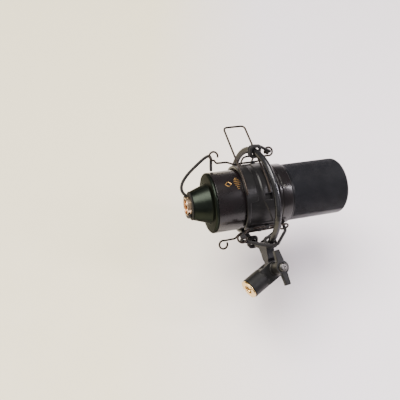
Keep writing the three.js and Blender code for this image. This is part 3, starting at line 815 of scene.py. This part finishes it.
def make_head_frame():
    """One arch over the head, from side to side, on a foot ring."""
    bore, top = HEAD_RADIUS - HEAD_WALL, GRILLE_START - GAP
    foot = lathe([(bore, HEAD_START), (HEAD_RADIUS, HEAD_START), (HEAD_RADIUS, top), (bore, top)],
                 0.25, 144)
    outer, inner = arch_surface(0.0), arch_surface(HEAD_WALL)
    loops = [near + far[::-1] for near, far in zip(outer, inner)]
    points = [p for loop in loops for p in loop]
    arch = Shape().add(points, band_faces(len(loops), len(loops[0]), False))
    on_mic("head_arch", arch, POWDER, "satin_black", "head_frame")
    on_mic("head_foot", foot, POWDER, "satin_black")


def arch_surface(inset):
    """Rows of points across the arch's width, from one foot over the top to the other."""
    edge = 0.3
    rounded = [(-FRAME_HALF_WIDTH + edge * (1 - math.cos(math.radians(a))),
                edge * (1 - math.sin(math.radians(a)))) for a in (0, 45, 90)]
    columns = rounded + [(x, 0.0) for x in (-4, -2, 0, 2, 4)] + [(-x, d) for x, d in rounded[::-1]]
    side = head_profile(inset)
    reach, top = side[-1]
    rows = []
    for r, z in side:
        rows.append([(x, math.sqrt(max(r - d, abs(x)) ** 2 - x * x), z) for x, d in columns])
    for k in range(1, 12):
        share = 1 - k / 12
        rows.append([(x, share * math.sqrt(reach ** 2 - x * x), top - d) for x, d in columns])
    rows.append([(x, 0.0, top - d) for x, d in columns])
    return rows + [[(x, -y, z) for x, y, z in row] for row in rows[-2::-1]]


MESH_PITCH = 1.25
MESH_WIRE = 0.24
MESH_DEPTH = 0.5
MESH_SIDES = 5
LINING_DEPTHS = (1.1, 1.5)


def weave_offset(i, j, over):
    """How far a wire stands out where it crosses another, above or below it in turn."""
    return MESH_WIRE * 0.8 * (1 if (i + j) % 2 == over else -1)


def woven_side(side):
    """Meridian and hoop wires of half the head, bent over the rounded edge."""
    outline = head_profile(MESH_DEPTH)
    length = sum(math.hypot(b[0] - a[0], b[1] - a[1]) for a, b in zip(outline, outline[1:]))
    rows = round(length / MESH_PITCH)
    clear = FRAME_HALF_WIDTH + GAP + MESH_WIRE
    edge = math.degrees(math.acos(clear / (HEAD_RADIUS - MESH_DEPTH)))
    columns = round(math.radians(2 * edge) * HEAD_RADIUS / MESH_PITCH)
    start = 0 if side > 0 else 180

    def spot(i, j, offset):
        r, z = along_profile(outline, length * j / rows)
        ahead = along_profile(outline, min(length, length * j / rows + 0.2))
        back = along_profile(outline, max(0, length * j / rows - 0.2))
        slope = Vector((ahead[1] - back[1], back[0] - ahead[0])).normalized()
        angle = start - edge + 2 * edge * i / columns
        return polar(r + offset * slope.x, angle, z + offset * slope.y)

    shape = Shape()
    for i in range(columns + 1):
        wire = [spot(i, j, weave_offset(i, j, 0)) for j in range(rows + 1)]
        shape.join(sweep(wire, MESH_WIRE, MESH_SIDES))
    for j in range(rows + 1):
        wire = [spot(i, j, weave_offset(i, j, 1)) for i in range(columns + 1)]
        shape.join(sweep(wire, MESH_WIRE, MESH_SIDES))
    return shape


def woven_top(side):
    """The flat end's mesh, cut to the half disc beside the arch."""
    reach = HEAD_RADIUS - HEAD_FILLET + 0.4
    low = FRAME_HALF_WIDTH + GAP + MESH_WIRE
    height = HEAD_END - MESH_DEPTH
    shape = Shape()
    rows = int((reach - low) / MESH_PITCH)
    columns = int(2 * reach / MESH_PITCH)
    for i in range(rows + 1):
        x = low + i * MESH_PITCH
        half = math.sqrt(max(0, reach ** 2 - x * x))
        wire = [Vector((side * x, -reach + j * MESH_PITCH, height + weave_offset(i, j, 0)))
                for j in range(columns + 1) if abs(-reach + j * MESH_PITCH) < half]
        if len(wire) > 1:
            shape.join(sweep(wire, MESH_WIRE, MESH_SIDES))
    for j in range(columns + 1):
        y = -reach + j * MESH_PITCH
        wire = [Vector((side * (low + i * MESH_PITCH), y, height + weave_offset(i, j, 1)))
                for i in range(rows + 1) if math.hypot(low + i * MESH_PITCH, y) < reach]
        if len(wire) > 1:
            shape.join(sweep(wire, MESH_WIRE, MESH_SIDES))
    return shape


def grille_lining(side):
    """The fine inner screen: a thin half shell behind the wires."""
    middle = sum(LINING_DEPTHS) / 2
    edge = math.degrees(math.acos((FRAME_HALF_WIDTH + GAP) / (HEAD_RADIUS - middle)))
    start = 0 if side > 0 else 180
    steps = 48
    rows = []
    for inset in LINING_DEPTHS:
        outline = head_profile(inset)
        rows.append(outline + [(outline[-1][0] * k / 6, outline[-1][1]) for k in range(5, -1, -1)])
    loop = rows[0] + rows[1][::-1]
    points = []
    for i in range(steps + 1):
        angle = start - edge + 2 * edge * i / steps
        points.extend(clear_of_arch(polar(r, angle, z), side) for r, z in loop)
    return Shape().add(points, band_faces(steps + 1, len(loop), False))


def clear_of_arch(point, side):
    """Keeps a point of the lining on its own side of the arch."""
    limit = FRAME_HALF_WIDTH + GAP
    point.x = side * max(limit, side * point.x)
    return point


def make_grilles():
    for side, name in ((1, "front"), (-1, "rear")):
        mesh = woven_side(side).join(woven_top(side))
        on_mic(f"{name}_mesh", mesh, GRILLE_WIRE, "grille_black", f"{name}_grille")
        on_mic(f"{name}_mesh_lining", grille_lining(side), GRILLE_LINING, "grille_black")


def dress_inside():
    """Pieces inside the body and head keep their CAD shape."""
    for node in ("chassis_base", "head_base", "chassis_rail_left", "chassis_rail_right"):
        dress(node, STEEL)
    for node in ("capsule_body", "capsule_clamp_ring"):
        dress(node, BRASS)
    dress("circuit_board", BOARD)
    dress("coupling_capacitor", PLASTIC)
    dress("film_capacitor", FILM)
    dress("diaphragm", FILM)
    dress("capsule_stem", RUBBER)
    dress("capsule_saddle", PLASTIC)


# -------------------- shock mount

def make_ring():
    ring = softened("ring_casting", "outer_ring", RING_COAT, 0.45, 8)
    fit(ring, "ring", "satin_black", "ring_casting")


# The pressing's heights and depth are millimetres, and its ends are angles along the jaw.
PRESSING_LOW, PRESSING_HIGH = -2.5, 3.2
PRESSING_FROM, PRESSING_WIDENS, PRESSING_TO = 25, 108, 152
PRESSING_DEPTH = 0.75
PANEL_DROP = 8
PANEL_SLANT = 0.26
PANEL_RAMP = 4
EDGE_RAMP = 0.8
END_RAMP = 1.5
JAW_SKIN = 0.6


def ramp_up(value, start, width):
    """From 0 to 1 over a width that begins at start."""
    share = min(1.0, max(0.0, (value - start) / width))
    return share * share * (3 - 2 * share)


def press_panel(jaw):
    """Sinks a channel along the jaw's outside that widens into a panel with a slanted edge."""
    outwards = CRADLE.inverted()
    for vertex in jaw.data.vertices:
        x, y, z = outwards @ (vertex.co / MM)
        radius, angle = math.hypot(x, y), abs(math.degrees(math.atan2(y, x)))
        if radius < JAW_OUTSIDE - JAW_SKIN:
            continue
        low = PRESSING_LOW - PANEL_DROP * ramp_up(angle, PRESSING_WIDENS, PANEL_RAMP)
        high = PRESSING_HIGH + PANEL_SLANT * max(0, angle - PRESSING_WIDENS)
        sunk = ramp_up(z, low, EDGE_RAMP) * ramp_up(-z, -high, EDGE_RAMP)
        sunk *= ramp_up(angle, PRESSING_FROM, END_RAMP) * ramp_up(-angle, -PRESSING_TO, END_RAMP)
        share = 1 - PRESSING_DEPTH * sunk / radius
        vertex.co = (CRADLE @ Vector((x * share, y * share, z))) * MM


def make_jaws():
    for side in ("front", "rear"):
        jaw = softened(f"jaw_{side}", f"clamp_jaw_{side}", JAW_COAT, 0.4, 3)
        press_panel(jaw)
        fit(jaw, f"jaw_{side}", "satin_black", f"jaw_{side}")
        first, last = (16, FRONT_JAW_TO - 2) if side == "front" else (2 - REAR_JAW_TO, -16)
        section = [(PAD_INSIDE, JAW_LOW + 0.5), (PAD_OUTSIDE, JAW_LOW + 0.5),
                   (PAD_OUTSIDE, JAW_HIGH - 0.5), (PAD_INSIDE, JAW_HIGH - 0.5)]
        lining = build(f"jaw_lining_{side}", arc(section, first, last, 0.3), JAWS, RUBBER)
        fit(lining, f"jaw_{side}", "rubber_black", f"pad_{side}")


COIL_WIRE = 0.5
COIL_TURNS = 3.5
COIL_LOW, COIL_HIGH = 7.0, 10.0


def make_hinge():
    """The headed pin the jaws turn on, and the spring wound round it."""
    pin = button([(0, 2), (2.2, 2), (2.2, 3.2), (PIN_RADIUS, 3.2), (PIN_RADIUS, 14.6), (0, 14.6)],
                 0.35, 40)
    made = build("hinge_rivet", pin.moved(shift(HINGE_RADIUS, 0, 0)), JAWS, DARK_STEEL)
    fit(made, "cradle", "fastener_steel", "hinge_pin")
    steps = int(COIL_TURNS * 28)
    coil = []
    for i in range(steps + 1):
        share = i / steps
        height = COIL_LOW + (COIL_HIGH - COIL_LOW) * share
        coil.append(polar(KNUCKLE_RADIUS - COIL_WIRE, 360 * COIL_TURNS * share, height))
    spring = sweep(coil, COIL_WIRE, 10).moved(shift(HINGE_RADIUS, 0, 0))
    fit(build("jaw_spring", spring, JAWS, DARK_STEEL), "cradle", "fastener_steel", "torsion_spring")


HANDLES = {
    "long": ("jaw_front", 72, 96, -12.7, 9.7, [(74, 6.6)]),
    "short": ("jaw_rear", -45, -70, 3.2, 15.2, [(38.6, -11.4), (42, 3)]),
}


def handle_route(root, wrap, low, high, stops):
    """Along the jaw from one angle to the other, out through the stops at two heights and back."""
    leg = [polar(WIRE_TRACK, wrap + (root - wrap) * i / 10, 0) for i in range(10)]
    loop = [polar(WIRE_TRACK, root, low)]
    loop += [Vector((x, y, low)) for x, y in stops]
    loop += [Vector((x, y, high)) for x, y in stops[::-1]]
    loop.append(polar(WIRE_TRACK, root, high))
    first = [Vector((p.x, p.y, low)) for p in leg]
    last = [Vector((p.x, p.y, high)) for p in leg[::-1]]
    return first + eased(loop, 4.5, 10) + last


# The angle round the jaws, then the tail end and the head end: reach, away, arm and lean.
HOOKS = {
    "front_top": (17, (-31, 10.3, 2.8, 0), (27, 8.6, 4.4, 0)),
    "front_bottom": (161, (-20, 8.6, 4.4, 0), (28, 5.4, 1.2, 85)),
    "rear_top": (-76, (-31, 8.6, 4.4, 0), (30, 8.6, 4.4, 0)),
    "rear_bottom": (-161, (-31, 8.6, 4.4, 0), (28, 5.4, 1.2, 85)),
}


def hook_place(angle, lean, away, z):
    return polar(WIRE_TRACK, angle, z) + polar(away, angle + lean, 0)


def hook_arm(angle, reach, away, arm, lean):
    """From the jaw out to an open eye. Reach is the eye's height, and away and arm are how far
    the eye and the arm stand off. Lean is an angle to one side.
    """
    side = math.copysign(1, reach)
    edge = JAW_HIGH if side > 0 else -JAW_LOW
    shelf = min(edge, abs(reach) - 8)
    foot = min(shelf + 4.5, abs(reach) - 2.5)
    points = [
        hook_place(angle, lean, 0, side * (shelf - 3)),
        hook_place(angle, lean, 0.6, side * shelf),
        hook_place(angle, lean, arm, side * foot),
        hook_place(angle, lean, arm + 0.2, reach - side * 1.8),
        hook_place(angle, lean, away - CURL_RADIUS, reach),
    ]
    eye = []
    steps = 30
    for i in range(1, steps + 1):
        curl = -math.pi / 2 - math.radians(CURL_ANGLE) * i / steps
        height = reach - side * CURL_RADIUS * math.cos(curl)
        eye.append(hook_place(angle, lean, away + CURL_RADIUS * math.sin(curl), height))
    return eased(points, 2.0, 5) + eye


def wire_saddle(angle, z):
    """A pressed loop of the jaw that holds a wire down."""
    under = WIRE_TRACK - 0.15
    return sweep([polar(under, angle, z - 1.3), polar(under, angle, z + 1.3)], WIRE + 0.45, 16)


def make_wires():
    for name, (body, *shape) in HANDLES.items():
        wire = sweep(handle_route(*shape), WIRE, WIRE_SIDES)
        handle = build(f"squeeze_handle_{name}", wire, CRADLE, SPRING_WIRE)
        fit(handle, body, "wire_black", f"handle_{name}")
    for name, (angle, tail, head) in HOOKS.items():
        body = "jaw_" + name.split("_")[0]
        route = hook_arm(angle, *tail)[::-1] + hook_arm(angle, *head)
        hook = build(f"hook_{name}", sweep(route, WIRE, WIRE_SIDES), CRADLE, SPRING_WIRE)
        fit(hook, body, "wire_black", f"hook_wire_{name}")
        saddles = wire_saddle(angle, -8).join(wire_saddle(angle, 9))
        fit(build(f"saddle_{name}", saddles, CRADLE, JAW_COAT), body, "satin_black")


# -------------------- elastics

# The anchor's angle on the ring, and whether the band holds the hook's tail end too.
BANDS = {
    "front_top": (33, False),
    "front_bottom": (162, True),
    "rear_top": (-92, True),
    "rear_bottom": (-149, False),
}
TO_RING = RING.inverted() @ CRADLE
CORD_SPACING = 0.55
CORD_SIDES = 28
TURN_BESIDE = 3.6
KNOT_SIZE = 0.72
KNOT_CORD = 0.95


def cord(route, closed=False):
    """A braided cord along a route of evenly spaced points."""
    return sweep(route, ELASTIC, CORD_SIDES, braid(), closed)


def band_end(angle, reach, away, lean, anchor):
    """Through a hook's eye and out beside it, in the ring's frame."""
    eye = hook_place(angle, lean, away, reach)
    across = polar(1, angle + lean + 90, 0)
    towards = math.copysign(1, across.dot(polar(RING_OUTSIDE, anchor, 0) - eye))
    return [TO_RING @ (eye + across * d * towards) for d in (-3.2, 0, 4.4)]


def ring_lap(anchor):
    """Over the ring's outside at an angle, from the head's side to the tail's."""
    return [polar(ELASTIC_OVER - abs(z) / 10, anchor, z)
            for z in (ELASTIC_PAST, 0, -ELASTIC_PAST)]


def ring_tuck(anchor):
    """Back under the ring, where a band that holds only one hook is sewn to itself."""
    return [polar(ELASTIC_UNDER + 0.5, anchor, -ELASTIC_PAST), polar(ELASTIC_UNDER, anchor, 1.5)]


def second_turn(anchor):
    """A closed turn round the ring's section, beside the first."""
    over, under, past = ELASTIC_OVER, ELASTIC_UNDER, ELASTIC_PAST
    corners = [polar(over, anchor, past), polar(over, anchor, -past),
               polar(under, anchor, -past), polar(under, anchor, past)]
    route = eased(corners, 3.2, 10, closed=True)
    return cord(resampled(route + route[:1], CORD_SPACING)[:-1], closed=True)


def make_stretches(name, route, jaw):
    """From the ring to a hook: a piece from the ring and a piece to the hook, which ends in a knot.
    """
    route = resampled(route, CORD_SPACING)
    half = len(route) // 2
    for part, stretch, first, second in (("ring", route[:half + 1], "ring", "cradle"),
                                         ("hook", route[half:], "cradle", jaw)):
        shape = cord(stretch)
        if part == "hook":
            axis = (stretch[-1] - stretch[-4]).normalized()
            shape.join(knot(stretch[-1] + axis * 1.2, axis))
        piece = build(f"band_{name}_{part}", shape, RING, CORD)
        stretch_point(stretch, 0.15)
        stretch_point(stretch, 0.85)
        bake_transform(piece)
        yield piece


def stretch_point(stretch, share):
    spot = stretch[int(share * (len(stretch) - 1))]
    return tuple((RING @ spot) * MM)


def make_elastics():
    """Each band laps the ring twice and runs to one or two hook eyes."""
    for name, (anchor, both) in BANDS.items():
        angle, tail, head = HOOKS[name]
        jaw = "jaw_" + name.split("_")[0]
        lap = ring_lap(anchor)
        rest = [] if both else ring_tuck(anchor)
        wrap = cord(resampled(eased(lap + rest, 2.4, 6), CORD_SPACING))
        wrap.join(second_turn(anchor - math.copysign(TURN_BESIDE, angle - anchor)))
        fit(build(f"band_{name}_wrap", wrap, RING, CORD), "ring", "elastic_black")
        ends = [("head", head, lap[0])] + [("tail", tail, lap[-1])] * both
        pieces = []
        for part, (reach, away, _, lean), start in ends:
            route = eased([start] + band_end(angle, reach, away, lean, anchor)[::-1], 5, 8)
            pieces += make_stretches(f"{name}_{part}", route, jaw)
        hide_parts(f"elastic_{name}")


def knot(spot, axis):
    """A small overhand knot, about three cord widths across."""
    loop = []
    for i in range(64):
        t = 2 * math.pi * i / 64
        loop.append(KNOT_SIZE * Vector((math.sin(t) + 2 * math.sin(2 * t),
                                        math.cos(t) - 2 * math.cos(2 * t), -math.sin(3 * t))))
    facing = Vector(axis).to_track_quat("Z", "Y").to_matrix().to_4x4()
    return sweep(loop, KNOT_CORD, 14, closed=True).moved(Matrix.Translation(spot) @ facing)


# Outward from the microphone's axis and along it, in the plane where the tie stands.
TIE_BOW = [(32.2, 8.8), (36, 9.2), (40.2, 9.9), (43.6, 10.3), (45.8, 9.4), (46, 7), (43.6, 2.2),
           (37.4, -6.8), (30.4, -15.6), (24, -21.2), (18.6, -23.4), (14.2, -22.8), (11.4, -20.8)]
TIE_SIDE = 10.5 - FRONT_ANGLE


def make_tie():
    """The retaining elastic: it ends beside the upper hook's eye and passes behind the barrel."""
    bow = [polar(outward, TIE_SIDE, along) for outward, along in TIE_BOW]
    turning = BARREL_RADIUS + GAP + ELASTIC + 0.1
    wrap = [polar(turning, TIE_SIDE - 8 - 17 * i, -20.3) for i in range(13)]
    shape = cord(resampled(splined(bow + wrap, 0.6), CORD_SPACING))
    fit(build("retaining_cord", shape, MIC, CORD), "cradle", "elastic_black", "retaining_elastic")


# -------------------- stand adapter

WASHER_LOW = EAR_OUTSIDE + GAP
WASHER_TOP = WASHER_LOW + 1.2
WASHER_BORE, WASHER_RADIUS = 3.25, 6.9
STEM_HEIGHT, BAR_THICKNESS = 8.2, 4.6
BAR_TOP = WASHER_TOP + GAP + STEM_HEIGHT + BAR_THICKNESS
BOLT_END = -14.2
BOLT_HEAD_RADIUS = 4.3


def make_swivel():
    fork = softened("socket_fork", "swivel_socket", PLASTIC, 0.35, 5)
    fit(fork, "socket", "plastic_black", "socket_fork")
    nut = softened("hex_nut", "swivel_nut", DARK_STEEL, 0.2, 3)
    fit(nut, "socket", "fastener_steel", "hex_nut")
    washer = lathe([(WASHER_BORE, WASHER_LOW), (WASHER_RADIUS, WASHER_LOW),
                    (WASHER_RADIUS, WASHER_TOP), (WASHER_BORE, WASHER_TOP)], 0.25, 64)
    washer = build("swivel_washer", washer, SWIVEL, DARK_STEEL)
    fit(washer, "socket", "fastener_steel", "bolt_washer")
    lever = softened("clamp_lever", "tee_lever", PLASTIC, 0.3, 5)
    fit(lever, "clamp", "plastic_black", "clamp_lever")
    head = BAR_TOP + GAP
    bolt = build("swivel_bolt", button([
        (0, BOLT_END), (BOLT_RADIUS - 0.4, BOLT_END), (BOLT_RADIUS, BOLT_END + 0.6),
        (BOLT_RADIUS, head), (BOLT_HEAD_RADIUS, head), (BOLT_HEAD_RADIUS, head + 1.2),
        (3.2, head + 2.4), (0, head + 2.8),
    ], 0.4, 48), CLAMP, DARK_STEEL)
    slot = [(-2.1, -0.4), (2.1, -0.4), (2.1, 0.4), (-2.1, 0.4)]
    cross = [prism(slot, head + 1.4, head + 4).moved(turn("Z", a)) for a in (0, 90)]
    carve(bolt, *cross, matrix=CLAMP)
    fit(bolt, "clamp", "fastener_steel", "clamp_bolt")


def make_thread_bush():
    """The brass bush: flange with a driver slot, and a helical thread in its bore."""
    face = -PIVOT_REACH
    out_y = turn("X", -90)
    back = face + ADAPTER_LENGTH
    step = face + FLANGE_THICKNESS
    bush = build("thread_bush", lathe([
        (STAND_THREAD_RADIUS, face), (FLANGE_RADIUS, face), (FLANGE_RADIUS, step),
        (ADAPTER_RADIUS, step), (ADAPTER_RADIUS, back), (STAND_THREAD_RADIUS, back),
    ], 0.3, 96).moved(out_y), SWIVEL, BRASS)
    slot = [(-0.7, -12), (0.7, -12), (0.7, 12), (-0.7, 12)]
    carve(bush, prism(slot, face - 1, face + 1).moved(out_y), matrix=SWIVEL)
    fit(bush, "adapter", "thread_brass", "thread_adapter")
    turns = (ADAPTER_LENGTH - 2) / THREAD_PITCH
    steps = int(turns * 40)
    thread = []
    for i in range(steps + 1):
        height = face + 1.3 + THREAD_PITCH * turns * i / steps
        thread.append(polar(STAND_THREAD_RADIUS + 0.05, 360 * turns * i / steps, height))
    ridge = build("bush_thread", sweep(thread, 0.45, 6).moved(out_y), SWIVEL, BRASS)
    fit(ridge, "adapter", "thread_brass")


# -------------------- scene

make_camera()
make_studio()
make_body()
make_connector()
make_collar()
make_emblem()
make_head_frame()
make_grilles()
dress_inside()
make_ring()
make_jaws()
make_hinge()
make_wires()
make_elastics()
make_tie()
make_swivel()
make_thread_bush()
